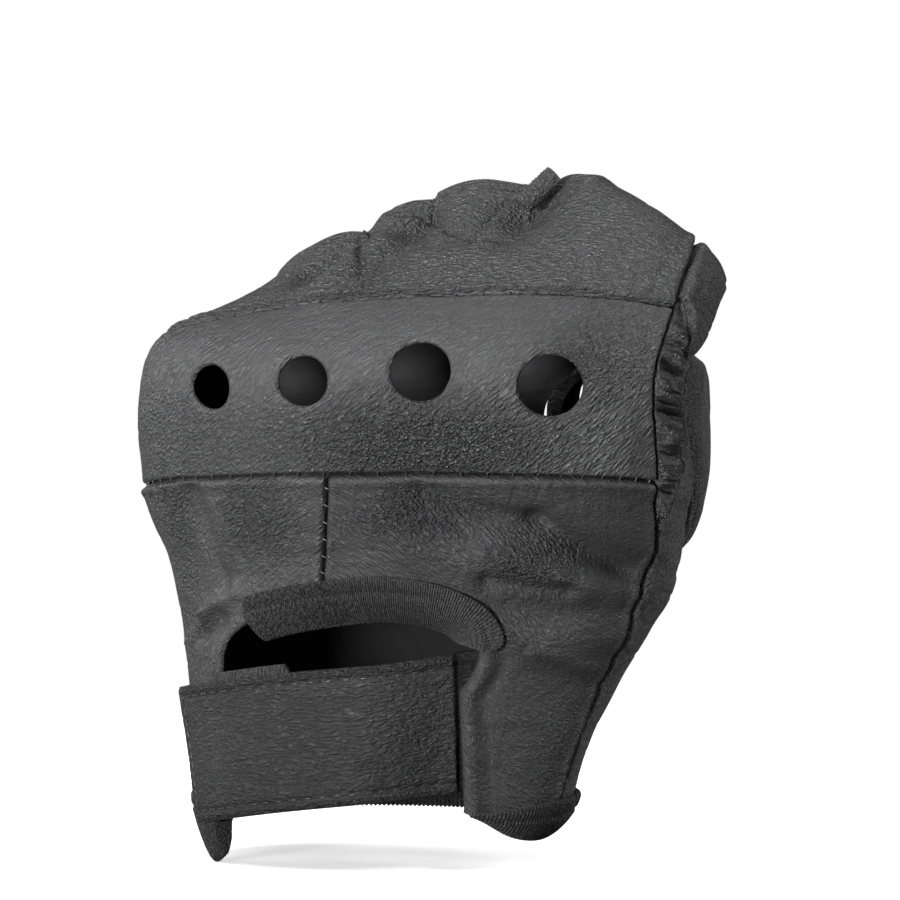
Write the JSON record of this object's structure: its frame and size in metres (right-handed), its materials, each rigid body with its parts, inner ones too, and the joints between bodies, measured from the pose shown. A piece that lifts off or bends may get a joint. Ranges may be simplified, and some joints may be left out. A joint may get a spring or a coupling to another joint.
{
  "type": "fingerless motorcycle glove",
  "caption": "Black leather half-finger riding glove with a perforated knuckle band, a knit-bound opening on the back and a wrist strap, in the form of a closed fist.",
  "frame": {"origin": "middle of the wrist opening", "axes": "+Z from the wrist up to the knuckles and finger ends, the back of the hand faces -Y, the thumb is at +X"},
  "size_m": [0.107, 0.0947, 0.1237],
  "materials": {
    "leather": "soft grained, satin",
    "thin_leather": "creased, half gloss",
    "knit": "ribbed knit, matte",
    "closure": "looped pile, matte"
  },
  "bodies": {
    "root": {"knuckle_band": "leather", "finger_back": "leather", "back_thumb_side": "leather", "back_little_side": "leather", "palm": "leather", "wrist_strap": "leather", "side_gusset": "thin_leather", "thumb_stall": "leather", "fourchette_index_middle": "thin_leather", "fourchette_middle_ring": "thin_leather", "fourchette_ring_little": "thin_leather", "rolled_edge": "thin_leather", "opening_binding": "knit", "cuff_binding": "knit", "strap_closure": "closure"}
  },
  "joints": []
}
